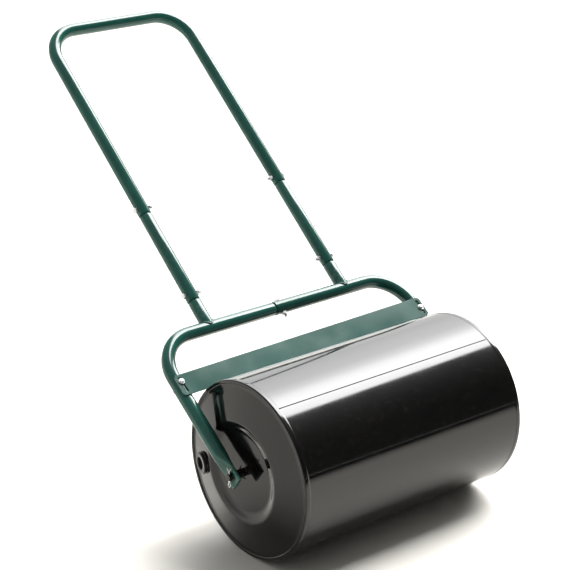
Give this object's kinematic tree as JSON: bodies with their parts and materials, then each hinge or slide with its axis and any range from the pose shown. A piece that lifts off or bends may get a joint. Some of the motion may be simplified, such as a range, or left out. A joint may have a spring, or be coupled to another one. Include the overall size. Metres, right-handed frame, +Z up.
{
  "type": "lawn roller",
  "caption": "Push-along lawn roller: a hollow steel drum for water or sand ballast turning in a tubular yoke, with a scraper bar and a tall U-shaped handle.",
  "frame": {"origin": "on the ground directly under the middle of the drum, where the drum touches the ground", "axes": "+X runs along the axle towards the end without the filler plug, +Y points to the side the handle leans towards, +Z is up"},
  "size_m": [0.587, 0.9141, 0.7833],
  "materials": {
    "green_paint": "gloss dark green powder coat",
    "black_paint": "gloss black powder coat",
    "zinc": "bright zinc plate",
    "black_plastic": "satin black moulded plastic",
    "gasket_rubber": "matt black rubber"
  },
  "bodies": {
    "frame": {"left_yoke_half": "green_paint", "right_yoke_half": "green_paint", "left_axle_bush": "black_plastic", "right_axle_bush": "black_plastic", "left_socket": "green_paint", "right_socket": "green_paint", "left_handle_tube": "green_paint", "right_handle_tube": "green_paint", "handle_bow": "green_paint", "crossbar_bolt": "zinc", "crossbar_nut": "zinc", "lower_joint_bolts": "zinc", "lower_joint_nuts": "zinc", "upper_joint_bolts": "zinc", "upper_joint_nuts": "zinc", "scraper_bolts": "zinc", "scraper_washers": "zinc", "scraper_nuts": "zinc"},
    "drum": {"drum_shell": "black_paint", "left_end_cap": "black_paint", "right_end_cap": "black_paint", "axle_rod": "black_paint", "left_hub_collar": "black_paint", "right_hub_collar": "black_paint", "left_spacer": "black_paint", "right_spacer": "black_paint", "left_axle_washer": "black_paint", "right_axle_washer": "black_paint", "left_split_pin": "zinc", "right_split_pin": "zinc", "filler_neck": "black_paint"},
    "scraper": {"scraper_bar": "green_paint"},
    "gasket": {"plug_gasket": "gasket_rubber"},
    "plug": {"filler_plug": "black_plastic"}
  },
  "joints": [
    {"name": "drum_spin", "type": "hinge", "parent": "frame", "child": "drum", "pos_m": [0, 0, 0.16], "axis": [1, 0, 0], "continuous": true},
    {"name": "scraper_set", "type": "slide", "parent": "frame", "child": "scraper", "axis": [0, 0.7986, 0.6018], "range_m": [-0.0015, 0.0105]},
    {"name": "gasket_lift", "type": "slide", "parent": "drum", "child": "gasket", "axis": [-0.9718, 0.2301, -0.0523], "range_m": [0, 0.012]},
    {"name": "plug_turn", "type": "hinge", "parent": "gasket", "child": "plug", "pos_m": [-0.25537, 0.11633, 0.13357], "axis": [-0.9718, 0.2301, -0.0523], "range_deg": [0, 1440]}
  ],
  "couplings": [
    {"joint": "gasket_lift", "follows": "plug_turn", "m_per_rad": 0.00047746}
  ]
}
